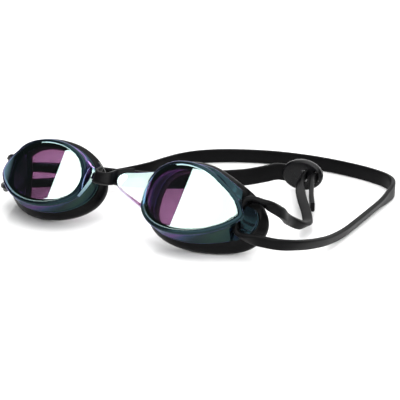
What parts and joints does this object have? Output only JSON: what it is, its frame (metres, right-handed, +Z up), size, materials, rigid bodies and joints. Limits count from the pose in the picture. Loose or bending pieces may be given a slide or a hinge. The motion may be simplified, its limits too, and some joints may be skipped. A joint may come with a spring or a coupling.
{
  "type": "swim goggles",
  "caption": "Swim goggles with mirrored eyecups, soft face seals, a flexible nose bridge and a flat head strap with an oval buckle.",
  "frame": {"origin": "middle of the footprint, on the floor the goggles lie on", "axes": "+X towards the wearer's left eye, -Y the way the lenses look, +Z up"},
  "size_m": [0.1645, 0.1478, 0.0374],
  "materials": {
    "mirrored_lens": "clear violet-tinted polycarbonate with a green to violet mirror coat",
    "black_silicone": "soft satin black",
    "black_plastic": "smooth moulded, slightly glossy"
  },
  "bodies": {
    "left_side": {"eyecup_left": "mirrored_lens", "gasket_left": "black_silicone", "nose_bridge": "black_silicone", "head_strap": "black_silicone"},
    "right_side": {"eyecup_right": "mirrored_lens", "gasket_right": "black_silicone"},
    "strap_buckle": {"buckle": "black_plastic"}
  },
  "joints": [
    {"name": "bridge_flex", "type": "hinge", "parent": "left_side", "child": "right_side", "pos_m": [-0.0088, -0.0697, 0.02825], "axis": [0, 0.56, 0.8285], "range_deg": [-20, 12], "stiffness_Nm_per_rad": 0.05, "deforming": ["nose_bridge", "head_strap"]},
    {"name": "buckle_slide", "type": "slide", "parent": "left_side", "child": "strap_buckle", "axis": [-0.9962, -0.0872, 0], "range_m": [0, 0.015], "deforming": ["head_strap"]}
  ]
}
